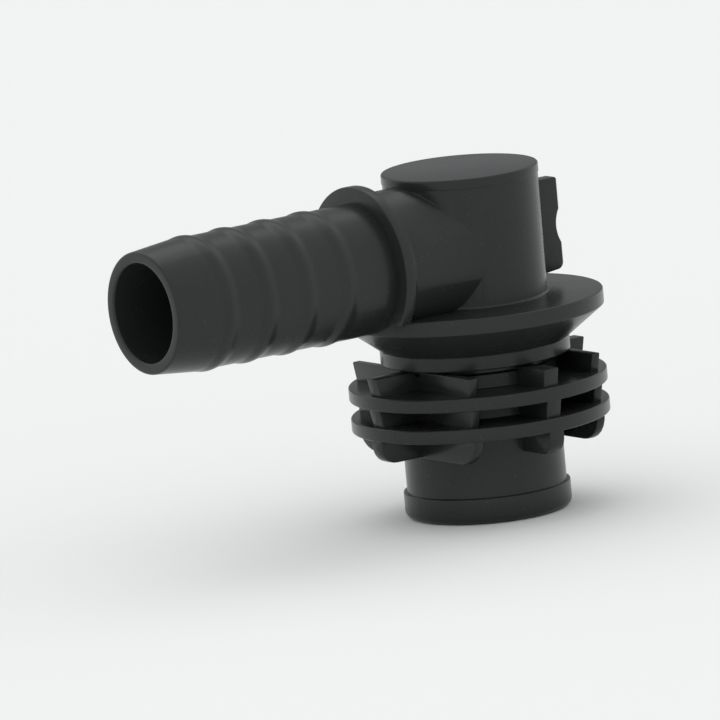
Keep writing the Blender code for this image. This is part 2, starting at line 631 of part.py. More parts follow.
def make_strainer(acetal, steel, swivel):
    """A flanged cage that hangs in the stem's bore, with a screen cup inside it."""
    seat = HOUSING_FLOOR + GAP
    cage_outer = STEM_BORE - RUNNING_GAP
    cage_inner = cage_outer - STRAINER_RING
    base = seat - STRAINER_DROP
    flange = lathe([(cage_inner, seat - STRAINER_RING), (cage_outer, seat - STRAINER_RING),
                    (cage_outer, seat),
                    (HOUSING_BORE - GAP, seat), (HOUSING_BORE - GAP, seat + STRAINER_FLANGE),
                    (cage_inner, seat + STRAINER_FLANGE)], ROUND)
    frame = place(flange, "strainer_frame", acetal, swivel)
    foot = place(tube(cage_inner, cage_outer, base, base + STRAINER_RING), "guide_strainer_foot")
    combine(frame, foot, "UNION")
    middle = (cage_inner + cage_outer) / 2
    half = STRAINER_BAR / 2
    for number in range(STRAINER_BARS):
        low, high = base + STRAINER_RING / 2, seat - STRAINER_RING / 2
        bar = box((middle - half, -half, low), (middle + half, half, high))
        bar.transform(Matrix.Rotation(math.tau * number / STRAINER_BARS, 4, "Z"))
        combine(frame, place(bar, f"guide_strainer_bar_{number}"), "UNION")
    outer = cage_inner - SEAL_GAP
    inner = outer - SCREEN_WALL
    cup = [(0, base), (outer, base), (outer, seat + STRAINER_FLANGE), (inner, seat + STRAINER_FLANGE),
           (inner, base + SCREEN_WALL), (0, base + SCREEN_WALL)]
    place(lathe(cup, ROUND, closed=False), "strainer_screen", steel, swivel)


def main():
    clear_scene()
    black = material("moulded_black", (0.028, 0.030, 0.030), 0.42)
    acetal = material("acetal", (0.72, 0.71, 0.67), 0.38)
    rubber = material("nitrile_rubber", (0.018, 0.018, 0.019), 0.62)
    steel = material("stainless_steel", (0.62, 0.61, 0.59), 0.28, 1.0)
    swivel = axis_empty("swivel_axis", NECK_BASE)
    lift = axis_empty("poppet_axis", SEAL_TOP)
    make_plug_body(black)
    make_elbow_body(black, swivel)
    make_cap(black, rubber, swivel)
    make_swivel_pieces(black, rubber, acetal, swivel)
    make_strainer(acetal, steel, swivel)
    make_seat(acetal, rubber)
    make_poppet(acetal, rubber, steel, lift)
    make_spring(steel)
    make_guide(acetal, steel)


main()
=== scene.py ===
"""Looks of the swivel hose-tail fill valve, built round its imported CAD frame. Metres, +Z up."""

import math

import bmesh
import bpy
from mathutils import Matrix, Vector


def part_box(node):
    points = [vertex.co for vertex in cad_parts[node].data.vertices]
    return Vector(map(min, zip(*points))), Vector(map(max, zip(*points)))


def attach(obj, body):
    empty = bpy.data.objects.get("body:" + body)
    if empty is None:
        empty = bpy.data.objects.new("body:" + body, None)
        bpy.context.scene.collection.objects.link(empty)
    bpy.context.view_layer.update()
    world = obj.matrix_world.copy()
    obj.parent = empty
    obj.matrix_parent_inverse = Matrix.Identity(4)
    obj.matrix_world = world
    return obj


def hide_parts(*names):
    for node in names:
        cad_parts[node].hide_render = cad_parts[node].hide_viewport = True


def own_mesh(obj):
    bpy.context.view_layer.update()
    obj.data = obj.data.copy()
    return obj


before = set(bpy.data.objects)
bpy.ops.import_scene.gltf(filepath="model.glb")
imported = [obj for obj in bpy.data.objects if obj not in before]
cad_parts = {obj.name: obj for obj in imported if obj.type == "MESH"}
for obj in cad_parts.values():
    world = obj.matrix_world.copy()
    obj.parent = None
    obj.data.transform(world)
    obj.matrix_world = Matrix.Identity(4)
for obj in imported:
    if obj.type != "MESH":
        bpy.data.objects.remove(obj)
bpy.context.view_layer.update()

MM = 0.001
TURN = 2 * math.pi
FINE = 144  # segments round the large visible pieces
MEDIUM = 96
SMALL = 64


# ---------------------------------------------------------------- places read from the frame


def low(node):
    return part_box(node)[0]


def high(node):
    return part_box(node)[1]


GAP = 0.3 * MM  # between pieces that rest on each other
RUNNING_GAP = 0.25 * MM  # between pieces that turn or slide in each other
OVERCUT = 1 * MM  # how far a cutter reaches past what it cuts
PLUG_TOP = high("plug_body").z
FIN_RADIUS = high("plug_body").x
STEM_BASE = low("elbow_body").z
FLANGE_RADIUS = high("elbow_body").x
TAIL_LENGTH = -low("elbow_body").x
CAP_RADIUS = high("top_cap").x
CAP_TOP = high("top_cap").z

NECK_HEIGHT = 2.25 * MM
CONE_HEIGHT = 4.4 * MM
FLANGE_THICKNESS = 2.35 * MM
TAIL_AXIS_RISE = 7.7 * MM  # above the flange's top face
CAP_THICKNESS = 1.2 * MM
NECK_BASE = PLUG_TOP + GAP
CONE_BASE = NECK_BASE + NECK_HEIGHT
RIM_BASE = CONE_BASE + CONE_HEIGHT
FLANGE_TOP = RIM_BASE + FLANGE_THICKNESS
TAIL_AXIS = FLANGE_TOP + TAIL_AXIS_RISE
CAP_BASE = CAP_TOP - CAP_THICKNESS
HOUSING_TOP = CAP_BASE - GAP

NECK_RADIUS = 14.5 * MM
HOUSING_RADIUS = 11.8 * MM
HOUSING_BORE = 9.4 * MM
STEM_RADIUS = 9.65 * MM
STEM_BORE = 6.8 * MM
TAIL_RADIUS = 10.1 * MM
TAIL_BORE = 7.62 * MM
LINK_RADIUS = 11.1 * MM
COLLAR_RADIUS = 12.6 * MM
COLLAR_FACE = 20.2 * MM
COLLAR_BACK = 18.2 * MM
CORE_RADIUS = 12.2 * MM
VALVE_BORE = 9.6 * MM
SOCKET_RADIUS = 9.9 * MM  # of the plug, round the stem
CORE_TOP = NECK_BASE - 1.1 * MM  # under the washer below the neck
LOCK_LEVEL = NECK_BASE - 6.85 * MM  # middle of the lock ring's grooves
LOCK_GROOVE_HALF = 0.6 * MM
SEAL_GROOVE_FLOOR = 8.2 * MM  # radius, on the stem and on the seat


# ---------------------------------------------------------------- mesh helpers


def piece(made, name, body, finish, nodes=(), sharp=32):
    """Put a bmesh in the scene as a finished piece that rides on a body."""
    bmesh.ops.recalc_face_normals(made, faces=made.faces)
    mesh = bpy.data.meshes.new(name)
    made.to_mesh(mesh)
    made.free()
    thing = bpy.data.objects.new(name, mesh)
    bpy.context.scene.collection.objects.link(thing)
    if finish is not None:
        finish_piece(thing, body, finish, nodes, sharp)
    return thing


def finish_piece(thing, body, finish, nodes=(), sharp=32):
    mesh = thing.data
    mesh.materials.clear()
    mesh.materials.append(finish)
    mesh.shade_smooth()
    mesh.set_sharp_from_angle(angle=math.radians(sharp))
    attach(thing, body)
    if nodes:
        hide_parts(*nodes)


def combine(target, other, operation):
    """Join or cut target with another mesh, which is then removed."""
    step = target.modifiers.new("combine", "BOOLEAN")
    step.operation = operation
    step.object = other
    step.solver = "EXACT"
    apply_modifiers(target)
    bpy.data.objects.remove(other, do_unlink=True)


def apply_modifiers(thing):
    graph = bpy.context.evaluated_depsgraph_get()
    mesh = bpy.data.meshes.new_from_object(thing.evaluated_get(graph))
    thing.modifiers.clear()
    thing.data = mesh


def bevel(thing, width, segments=3, angle=40):
    """Round a piece's sharp edges, before it is joined to others."""
    step = thing.modifiers.new("round", "BEVEL")
    step.width = width
    step.segments = segments
    step.limit_method = "ANGLE"
    step.angle_limit = math.radians(angle)
    step.use_clamp_overlap = True
    apply_modifiers(thing)
    return thing


def rounded(points, closed=True, steps=4):
    """Turn (x, y) or (x, y, radius) corners into a profile with round corners."""
    out = []
    count = len(points)
    for k, point in enumerate(points):
        radius = point[2] if len(point) > 2 else 0.0
        here = Vector(point[:2])
        if radius == 0.0 or (not closed and k in (0, count - 1)):
            out.append(tuple(here))
            continue
        before = Vector(points[k - 1][:2]) - here
        after = Vector(points[(k + 1) % count][:2]) - here
        turn = before.angle(after)
        room = [arm.length * (0.49 if len(points[(k + step) % count]) > 2 else 0.97)
                for arm, step in ((before, -1), (after, 1))]
        cut = min(radius / math.tan(turn / 2), *room)
        radius = cut * math.tan(turn / 2)
        start = here + before.normalized() * cut
        end = here + after.normalized() * cut
        middle = here + (before.normalized() + after.normalized()).normalized() * radius / math.sin(turn / 2)
        first, last = start - middle, end - middle
        sweep = first.angle_signed(last)
        for step in range(steps + 1):
            spun = first.copy()
            spun.rotate(Matrix.Rotation(-sweep * step / steps, 2))
            out.append(tuple(middle + spun))
    return out


def lathe(profile, segments=MEDIUM, closed=True):
    """Turn (radius, height) points round Z. An open profile starts and ends on the axis."""
    made = bmesh.new()
    rows = []
    for radius, height in profile:
        if radius < 1e-9:
            rows.append([made.verts.new((0, 0, height))])
            continue
        angles = [TURN * k / segments for k in range(segments)]
        rows.append([made.verts.new((radius * math.cos(a), radius * math.sin(a), height)) for a in angles])
    pairs = list(zip(rows, rows[1:] + rows[:1])) if closed else list(zip(rows, rows[1:]))
    for lower, upper in pairs:
        for k in range(segments):
            after = (k + 1) % segments
            if len(lower) == 1:
                made.faces.new((lower[0], upper[k], upper[after]))
            elif len(upper) == 1:
                made.faces.new((lower[k], lower[after], upper[0]))
            else:
                made.faces.new((lower[k], lower[after], upper[after], upper[k]))
    return made


def along_x(made):
    """Lay a turned shape down on the hose tail's axis, pointing along -X."""
    made.transform(Matrix.Translation((0, 0, TAIL_AXIS)) @ Matrix.Rotation(-math.pi / 2, 4, "Y"))
    return made


def torus(centre, section, height, segments=MEDIUM, sides=20):
    """A moulded rubber ring with a fine flash line round its outside and inside."""
    profile = []
    for k in range(sides * 2):
        angle = TURN * k / (sides * 2)
        reach = section * (1.0 + (0.03 if k in (0, sides) else 0.0))
        profile.append((centre + reach * math.cos(angle), height + reach * math.sin(angle)))
    return lathe(profile, segments)


def plate(outline, start, end, axis="Y"):
    """Extrude an outline along Y (x, z outline) or along X (y, z outline) or Z (x, y outline)."""
    made = bmesh.new()
    place = {
        "X": lambda point: (start, point[0], point[1]),
        "Y": lambda point: (point[0], start, point[1]),
        "Z": lambda point: (point[0], point[1], start),
    }[axis]
    along = {"X": Vector((1, 0, 0)), "Y": Vector((0, 1, 0)), "Z": Vector((0, 0, 1))}[axis]
    face = made.faces.new([made.verts.new(place(point)) for point in outline])
    grown = bmesh.ops.extrude_face_region(made, geom=[face])
    moved = [item for item in grown["geom"] if isinstance(item, bmesh.types.BMVert)]
    bmesh.ops.translate(made, verts=moved, vec=along * (end - start))
    return made


def skin(made, rows, closed=False):
    """Join rows of vertices into a tube, closed on itself or with a flat face at each end."""
    for row, after in zip(rows, rows[1:] + rows[:1] if closed else rows[1:]):
        for k in range(len(row)):
            nxt = (k + 1) % len(row)
            made.faces.new((row[k], row[nxt], after[nxt], after[k]))
    if not closed:
        made.faces.new(rows[0])
        made.faces.new(list(reversed(rows[-1])))
    return made


def split_ring(inner, outer, bottom, top, gap, ease, segments=MEDIUM):
    """A flat ring with eased edges and a gap on its +X side."""
    made = bmesh.new()
    half = gap / (inner + outer)
    angles = [half + (TURN - 2 * half) * k / segments for k in range(segments + 1)]
    corners = [(inner, bottom, ease), (outer, bottom, ease), (outer, top, ease), (inner, top, ease)]
    section = rounded(corners, steps=3)
    rows = [[made.verts.new((r * math.cos(a), r * math.sin(a), z)) for r, z in section] for a in angles]
    return skin(made, rows)


def strand(made, points, wire, sides, closed=False):
    """Add round wire along a list of points, with flat ends where it isn't closed."""
    rows = []
    for k, point in enumerate(points):
        ahead = points[(k + 1) % len(points)] if closed or k + 1 < len(points) else point
        behind = points[k - 1] if closed or k > 0 else point
        along = (ahead - behind).normalized()
        side = along.cross(Vector((0, 0, 1)))
        if side.length < 0.1:
            side = along.cross(Vector((1, 0, 0)))
        side.normalize()
        over = side.cross(along)
        angles = [TURN * s / sides for s in range(sides)]
        arms = [side * math.cos(a) + over * math.sin(a) for a in angles]
        rows.append([made.verts.new(point + arm * wire) for arm in arms])
    return skin(made, rows, closed)


# ---------------------------------------------------------------- materials


class Nodes:
    """Short hand for building one material's node tree."""

    def __init__(self, name):
        self.material = bpy.data.materials.new(name)
        self.material.use_nodes = True
        self.tree = self.material.node_tree
        self.shader = self.tree.nodes["Principled BSDF"]

    def add(self, kind, **values):
        node = self.tree.nodes.new(kind)
        for key, value in values.items():
            if key.startswith("in_"):
                node.inputs[key[3:].replace("_", " ")].default_value = value
            else:
                setattr(node, key, value)
        return node

    def link(self, source, target):
        self.tree.links.new(source, target)

    def noise(self, scale, detail=3.0, rough=0.5, stretch=None):
        """Noise in object space; scale is in features per metre."""
        place = self.add("ShaderNodeTexCoord")
        scaled = self.add("ShaderNodeMapping")
        if stretch:
            scaled.inputs["Scale"].default_value = stretch
        self.link(place.outputs["Object"], scaled.inputs["Vector"])
        made = self.add("ShaderNodeTexNoise", in_Scale=scale, in_Detail=detail, in_Roughness=rough)
        self.link(scaled.outputs["Vector"], made.inputs["Vector"])
        return made.outputs["Fac"]

    def ramp(self, value, stops):
        """Turn a value into a colour or grey; stops are (position, colour or grey)."""
        made = self.add("ShaderNodeValToRGB")
        while len(made.color_ramp.elements) < len(stops):
            made.color_ramp.elements.new(0.5)
        for element, (spot, colour) in zip(made.color_ramp.elements, stops):
            element.position = spot
            element.color = (*colour, 1.0) if isinstance(colour, tuple) else (colour, colour, colour, 1.0)
        self.link(value, made.inputs["Fac"])
        return made.outputs["Color"]

    def spread(self, value, low_value, high_value, start=0.15, end=0.85):
        """Stretch the range start to end, where noise mostly lies, over low_value to high_value."""
        made = self.add("ShaderNodeMapRange")
        made.inputs["From Min"].default_value = start
        made.inputs["From Max"].default_value = end
        made.inputs["To Min"].default_value = low_value
        made.inputs["To Max"].default_value = high_value
        self.link(value, made.inputs["Value"])
        return made.outputs["Result"]

    def mix(self, factor, first, second):
        """Blend two colours; a Mix node's colours are its inputs 6 and 7 and its output 2."""
        made = self.add("ShaderNodeMix", data_type="RGBA")
        self.link(factor, made.inputs["Factor"])
        for colour, socket in ((first, made.inputs[6]), (second, made.inputs[7])):
            if isinstance(colour, tuple):
                socket.default_value = (*colour, 1.0)
            else:
                self.link(colour, socket)
        return made.outputs[2]

    def bump(self, layers):
        """Stack (height, strength, distance) bumps into the shader's normal."""
        normal = None
        for height, strength, distance in layers:
            made = self.add("ShaderNodeBump", in_Strength=strength, in_Distance=distance)
            self.link(height, made.inputs["Height"])
            if normal:
                self.link(normal, made.inputs["Normal"])
            normal = made.outputs["Normal"]
        self.link(normal, self.shader.inputs["Normal"])


def black_plastic():
    """Moulded black plastic: satin sheen, faint flow marks, fine spark-eroded grain and a few dust specks."""
    n = Nodes("moulded_black_plastic")
    clouds = n.noise(60.0, 4.0, 0.5)
    flow = n.noise(150.0, 2.0, 0.4, (1.0, 1.0, 3.0))
    grain = n.noise(5200.0, 2.0, 0.6)
    specks = n.ramp(n.noise(2600.0, 1.0, 0.4), [(0.70, 0.0), (0.76, 1.0)])
    base = n.mix(n.spread(clouds, 0.0, 1.0), (0.0150, 0.0162, 0.0162), (0.0200, 0.0214, 0.0214))
    base = n.mix(n.spread(specks, 0.0, 0.30, 0.0, 1.0), base, (0.070, 0.072, 0.070))
    n.link(base, n.shader.inputs["Base Color"])
    n.link(n.spread(clouds, 0.23, 0.31), n.shader.inputs["Roughness"])
    n.shader.inputs["Specular IOR Level"].default_value = 0.28
    n.bump([(flow, 0.05, 0.00005), (grain, 0.06, 0.000005)])
    return n.material


def acetal():
    """Natural white acetal: slightly translucent looking, with soft sheen and faint turning marks."""
    n = Nodes("natural_acetal")
    clouds = n.noise(160.0, 3.0, 0.5)
    grain = n.noise(4200.0, 2.0, 0.5)
    marks = n.noise(700.0, 2.0, 0.5, (0.25, 0.25, 8.0))
    base = n.mix(n.spread(clouds, 0.0, 1.0), (0.66, 0.65, 0.60), (0.76, 0.75, 0.71))
    n.link(base, n.shader.inputs["Base Color"])
    n.link(n.spread(marks, 0.30, 0.42), n.shader.inputs["Roughness"])
    n.shader.inputs["Subsurface Weight"].default_value = 0.12
    n.shader.inputs["Subsurface Radius"].default_value = (0.001, 0.0009, 0.0007)
    n.shader.inputs["Subsurface Scale"].default_value = 1.0
    n.bump([(marks, 0.10, 0.00003), (grain, 0.08, 0.00001)])
    return n.material


def rubber():
    """Nitrile rubber: matt black with a greyish bloom and a fine pitted skin."""
    n = Nodes("nitrile_rubber")
    bloom = n.noise(420.0, 4.0, 0.6)
    pits = n.noise(6500.0, 2.0, 0.7)
    base = n.mix(n.spread(bloom, 0.0, 1.0), (0.012, 0.012, 0.012), (0.030, 0.030, 0.031))
    n.link(base, n.shader.inputs["Base Color"])
    n.link(n.spread(bloom, 0.55, 0.72), n.shader.inputs["Roughness"])
    n.shader.inputs["Specular IOR Level"].default_value = 0.35
    n.bump([(pits, 0.25, 0.00001)])
    return n.material


def steel():
    """Stainless steel: drawing lines, uneven polish and a few faint water spots."""
    n = Nodes("stainless_steel")
    tone, spotted = (0.60, 0.59, 0.57), (0.44, 0.42, 0.39)
    lines = n.noise(2600.0, 2.0, 0.5, (1.0, 1.0, 0.06))
    clouds = n.noise(260.0, 4.0, 0.6)
    spots = n.ramp(n.noise(800.0, 2.0, 0.4), [(0.62, 0.0), (0.70, 1.0)])
    base = n.mix(n.spread(spots, 0.0, 0.25, 0.0, 1.0), tone, spotted)
    n.link(base, n.shader.inputs["Base Color"])
    n.shader.inputs["Metallic"].default_value = 1.0
    n.link(n.spread(clouds, 0.22, 0.40), n.shader.inputs["Roughness"])
    n.bump([(lines, 0.12, 0.00001)])
    return n.material


# ---------------------------------------------------------------- elbow


def tail_profile():
    """The hose tail: eased tip, long lead-in, four low round rings and a plain root."""
    ring_rise, ring_pitch, first_ring, rings = 0.3 * MM, 7.27 * MM, 9.15 * MM, 4
    tip_side, root_side = 1.85 * MM, 2.0 * MM
    lead, tip, ease = 7.2 * MM, 9.34 * MM, 0.35 * MM
    root = 2 * MM  # where the solid starts, inside the housing
    steps, ease_steps = 180, 6
    points = [(0.0, root), (TAIL_RADIUS, root)]
    start, end = COLLAR_FACE, TAIL_LENGTH - ease
    for k in range(steps + 1):
        along = start + (end - start) * k / steps
        from_tip = TAIL_LENGTH - along
        radius = min(TAIL_RADIUS, tip + (TAIL_RADIUS - tip) * from_tip / lead)
        for number in range(rings):
            offset = from_tip - first_ring - number * ring_pitch
            share = abs(offset) / (tip_side if offset < 0 else root_side)
            if share < 1:
                radius += ring_rise * (0.5 + 0.5 * math.cos(math.pi * share))
        points.append((radius, along))
    edge = tip + (TAIL_RADIUS - tip) * ease / lead
    for k in range(1, ease_steps + 1):
        angle = math.pi / 2 * k / ease_steps
        points.append((edge - ease * (1 - math.cos(angle)), end + ease * math.sin(angle)))
    return points + [(0.0, TAIL_LENGTH)]


def tail_bore_profile():
    """The straight bore, with a small round lead at its mouth."""
    mouth, steps = 0.35 * MM, 5
    points = [(0.0, 0.0), (TAIL_BORE, 0.0)]
    for k in range(steps + 1):
        angle = math.pi / 2 * k / steps
        radius = TAIL_BORE + mouth * (1 - math.cos(angle))
        points.append((radius, TAIL_LENGTH - mouth * (1 - math.sin(angle))))
    points += [(TAIL_BORE + mouth, TAIL_LENGTH + OVERCUT), (0.0, TAIL_LENGTH + OVERCUT)]
    return points


def elbow_profile():
    """Stem with two seal grooves and a lock groove, neck, cone, flange rim and housing."""
    ring_half, lock_floor = 0.9 * MM, 8.6 * MM
    grooves = [
        (LOCK_LEVEL, LOCK_GROOVE_HALF, lock_floor),
        (NECK_BASE - 4.7 * MM, ring_half, SEAL_GROOVE_FLOOR),
        (NECK_BASE - 2.1 * MM, ring_half, SEAL_GROOVE_FLOOR),
    ]
    ease = 0.12 * MM
    points = [(0.0, STEM_BASE), (STEM_RADIUS, STEM_BASE, 0.3 * MM)]
    for level, half, floor in grooves:
        bottom, top = level - half, level + half
        points += [(STEM_RADIUS, bottom, ease), (floor, bottom, ease)]
        points += [(floor, top, ease), (STEM_RADIUS, top, ease)]
    points += [
        (STEM_RADIUS, NECK_BASE, 0.2 * MM),
        (NECK_RADIUS, NECK_BASE, 0.25 * MM),
        (NECK_RADIUS, CONE_BASE, 0.4 * MM),
        (FLANGE_RADIUS, RIM_BASE, 0.25 * MM),
        (FLANGE_RADIUS, FLANGE_TOP, 0.3 * MM),
        (HOUSING_RADIUS - 0.05 * MM, FLANGE_TOP, 0.4 * MM),
        (HOUSING_RADIUS + 0.08 * MM, HOUSING_TOP, 0.05 * MM),
        (0.0, HOUSING_TOP),
    ]
    return rounded(points, closed=False, steps=5)


def collar_rows():
    """The thin stop disc and the wide pipe behind it, as (radius, distance) from the front back."""
    edge = 0.25 * MM
    front = [(COLLAR_RADIUS - edge * (1 - math.sin(a)), COLLAR_FACE - edge * (1 - math.cos(a)))
             for a in (0.0, 0.52, 1.05, 1.57)]
    back = [(COLLAR_RADIUS - edge * (1 - math.cos(a)), COLLAR_BACK + 0.12 * MM + edge * (1 - math.sin(a)))
            for a in (0.0, 0.52, 1.05, 1.5)]
    cove = 1.1 * MM
    root = [(LINK_RADIUS + cove * (1 - math.sin(a)), COLLAR_BACK - cove * (1 - math.cos(a)))
            for a in (0.08, 0.3, 0.6, 0.9, 1.2, 1.5)]
    return front + back + root + [(LINK_RADIUS, COLLAR_BACK - cove - 0.1 * MM), (LINK_RADIUS, 1 * MM)]


def flat_footed(rows, level):
    """Discs of (radius, distance) round the tail's axis, joined and cut flat at a level."""
    made = bmesh.new()
    rings = []
    for radius, along in rows:
        start = math.asin((level - TAIL_AXIS) / radius)
        arc = math.pi - 2 * start
        ring = []
        for k in range(MEDIUM + 1):
            angle = start + arc * k / MEDIUM
            across, up = radius * math.cos(angle), radius * math.sin(angle)
            ring.append(made.verts.new((-along, across, TAIL_AXIS + up)))
        rings.append(ring)
    return skin(made, rings)


def saddle_fillet(radius):
    """The rolled fillet where the wide pipe meets the housing, as one closed swept wedge."""
    pipe, wall = LINK_RADIUS, HOUSING_RADIUS - 0.02 * MM
    half_sweep, steps, arc_steps = 128, 120, 6
    sink, depth = 0.015 * MM, 2.6 * radius  # of the fillet's face, and of the wedge behind it
    made = bmesh.new()
    rows = []
    for k in range(steps + 1):
        around = math.radians(-half_sweep + 2 * half_sweep * k / steps)
        y, z = (pipe + radius) * math.sin(around), (pipe + radius) * math.cos(around)
        ball = Vector((-math.sqrt((wall + radius) ** 2 - y * y), y, z))
        on_pipe = Vector((ball.x, y * pipe / (pipe + radius), z * pipe / (pipe + radius)))
        on_wall = Vector((ball.x * wall / (wall + radius), y * wall / (wall + radius), z))
        first, last = (on_pipe - ball).normalized(), (on_wall - ball).normalized()
        turn = first.angle(last)
        axis = first.cross(last).normalized()
        arms = [Matrix.Rotation(turn * step / arc_steps, 3, axis) @ first for step in range(arc_steps + 1)]
        row = [ball + arm * (radius + sink) for arm in arms]
        row.append(ball + (first + last).normalized() * depth)
        lift = Vector((0, 0, TAIL_AXIS))
        rows.append([made.verts.new(point + lift) for point in row])
    return skin(made, rows)


def thumb_outline():
    """Side view of the rear rib: a shallow concave notch and a round lower corner."""
    inside = (HOUSING_BORE + HOUSING_RADIUS) / 2
    reach, slope = 17.05 * MM, 0.6 * MM
    top, bottom = TAIL_AXIS + 8.2 * MM, TAIL_AXIS - 5.9 * MM
    half, depth, steps = 2.6 * MM, 0.7 * MM, 14
    radius = (half**2 + depth**2) / (2 * depth)
    half_angle = math.asin(half / radius)
    centre = (reach - depth + radius, TAIL_AXIS + 0.7 * MM)
    notch = [(centre[0] - radius * math.cos(a), centre[1] - radius * math.sin(a))
             for a in [half_angle * (1 - 2 * k / steps) for k in range(steps + 1)]]
    corners = [(inside, bottom - slope), (HOUSING_RADIUS, bottom - slope), (reach, bottom, 1.1 * MM)]
    top_corners = [(reach, top, 0.4 * MM), (inside, top)]
    return rounded(corners + notch + top_corners, steps=6)


def make_elbow(finish):
    body = piece(lathe(elbow_profile(), FINE, closed=False), "elbow_moulding", "elbow", None)
    tail = piece(along_x(lathe(tail_profile(), FINE, closed=False)), "work_tail", None, None)
    collar = piece(flat_footed(collar_rows(), FLANGE_TOP - 0.25 * MM), "work_collar", None, None)
    fillet = piece(saddle_fillet(0.45 * MM), "work_fillet", None, None)
    thumb_half = 1.3 * MM
    thumb = piece(plate(thumb_outline(), -thumb_half, thumb_half), "work_thumb", None, None)
    bevel(thumb, 0.3 * MM)
    floor = FLANGE_TOP - 1.75 * MM
    bore = [
        (0.0, STEM_BASE - OVERCUT), (STEM_BORE, STEM_BASE - OVERCUT), (STEM_BORE, floor),
        (HOUSING_BORE, floor), (HOUSING_BORE, HOUSING_TOP + OVERCUT), (0.0, HOUSING_TOP + OVERCUT),
    ]
    chamber = piece(lathe(bore, FINE, closed=False), "work_chamber", None, None)
    passage = piece(along_x(lathe(tail_bore_profile(), MEDIUM, closed=False)), "work_passage", None, None)
    for other in (collar, tail, fillet, thumb):
        combine(body, other, "UNION")
    for other in (chamber, passage):
        combine(body, other, "DIFFERENCE")
    finish_piece(body, "elbow", finish, ["elbow_body"], sharp=34)


def make_cap(finish):
    """The cap; its rim reaches down to the housing, over the CAD pieces' gap."""
    skirt = HOUSING_BORE - RUNNING_GAP
    inner = skirt - 2.2 * MM
    bottom = CAP_BASE - 2.9 * MM
    groove_floor, groove, half = HOUSING_BORE - 1.5 * MM, bottom + 1.3 * MM, 0.75 * MM
    rim = HOUSING_TOP - 0.02 * MM
    profile = rounded([
        (0.0, CAP_BASE), (inner, CAP_BASE, 0.4 * MM), (inner, bottom, 0.2 * MM), (skirt, bottom, 0.25 * MM),
        (skirt, groove - half, 0.1 * MM), (groove_floor, groove - half, 0.1 * MM),
        (groove_floor, groove + half, 0.1 * MM), (skirt, groove + half, 0.1 * MM),
        (skirt, rim, 0.05 * MM), (CAP_RADIUS, rim, 0.05 * MM),
        (CAP_RADIUS, CAP_TOP, 0.35 * MM), (0.0, CAP_TOP),
    ], closed=False, steps=5)
    piece(lathe(profile, FINE, closed=False), "cap_moulding", "elbow", finish, ["top_cap"])


# ---------------------------------------------------------------- plug


FIN_THICKNESS = 2.15 * MM
LOWER_FIN = 13.95 * MM
FIN_GAP = 2.6 * MM
UPPER_FIN = LOWER_FIN + FIN_THICKNESS + FIN_GAP
UPPER_FIN_TOP = UPPER_FIN + FIN_THICKNESS
RIB_RADIUS = FIN_RADIUS - 0.1 * MM
RIB_HALF = 1.3 * MM  # half a rib's thickness
RIB_LEAN = 0.6 * MM  # how far a rib's outer edge leans in between two fins


def plug_profile():
    """Foot lip, tube and two fins with eased rims."""
    lip, lip_top = 12.75 * MM, 4.05 * MM
    ease, cove = 0.3 * MM, 0.25 * MM
    points = [
        (0.0, 0.0), (lip, 0.0, 1.2 * MM), (lip, lip_top, 0.2 * MM), (CORE_RADIUS, lip_top, 0.1 * MM),
        (CORE_RADIUS, LOWER_FIN, cove), (FIN_RADIUS, LOWER_FIN, ease),
        (FIN_RADIUS, LOWER_FIN + FIN_THICKNESS, ease), (CORE_RADIUS, LOWER_FIN + FIN_THICKNESS, cove),
        (CORE_RADIUS, UPPER_FIN, cove), (FIN_RADIUS, UPPER_FIN, ease), (FIN_RADIUS, UPPER_FIN_TOP, ease),
        (CORE_RADIUS, UPPER_FIN_TOP, cove), (CORE_RADIUS, CORE_TOP), (0.0, CORE_TOP),
    ]
    return rounded(points, closed=False, steps=5)


def plug_bore_profile():
    """Foot chamfer, snap groove, valve bore, ledge, stem socket with its lock groove, and neck recess."""
    ledge, ledge_under, ledge_radius = 13.4 * MM, 12.5 * MM, 7.6 * MM
    snap_low, snap_high, snap_floor = 0.45 * MM, 1.25 * MM, VALVE_BORE + 0.6 * MM
    lock_low, lock_high = LOCK_LEVEL - LOCK_GROOVE_HALF, LOCK_LEVEL + LOCK_GROOVE_HALF
    lock_floor = SOCKET_RADIUS + 1.05 * MM
    chamfer = 0.3 * MM
    recess = CORE_RADIUS + 0.25 * MM
    return [
        (0.0, -OVERCUT), (VALVE_BORE + chamfer + OVERCUT, -OVERCUT), (VALVE_BORE + chamfer, 0.0),
        (VALVE_BORE, chamfer), (VALVE_BORE, snap_low), (snap_floor, snap_low), (snap_floor, snap_high),
        (VALVE_BORE, snap_high), (VALVE_BORE, ledge_under), (ledge_radius, ledge_under),
        (ledge_radius, ledge), (SOCKET_RADIUS, ledge), (SOCKET_RADIUS, lock_low),
        (lock_floor, lock_low), (lock_floor, lock_high), (SOCKET_RADIUS, lock_high),
        (SOCKET_RADIUS, CORE_TOP), (recess, CORE_TOP), (recess, PLUG_TOP + OVERCUT),
        (0.0, PLUG_TOP + OVERCUT),
    ]


def rib_edge(base, corner, stretch=1.0, reach=None):
    """One rib's outer edge from its foot up; stretch fits the lean to a plate off the axis."""
    outer = reach if reach else RIB_RADIUS
    lean = outer - RIB_LEAN * stretch
    return [
        (outer, base, corner),
        (outer, LOWER_FIN + FIN_THICKNESS * 0.35),
        (lean, LOWER_FIN + FIN_THICKNESS * 0.65),
        (lean, LOWER_FIN + FIN_THICKNESS),
        (outer, UPPER_FIN),
        (outer, UPPER_FIN + FIN_THICKNESS / 2),
        (lean, UPPER_FIN_TOP - FIN_THICKNESS / 4),
        (lean, UPPER_FIN_TOP),
        (outer, PLUG_TOP),
    ]


def rib_outline(base, corner, stretch=1.0, reach=None):
    right = rib_edge(base, corner, stretch, reach)
    left = [(-point[0], *point[1:]) for point in reversed(right)]
    return rounded(right + left, steps=6)


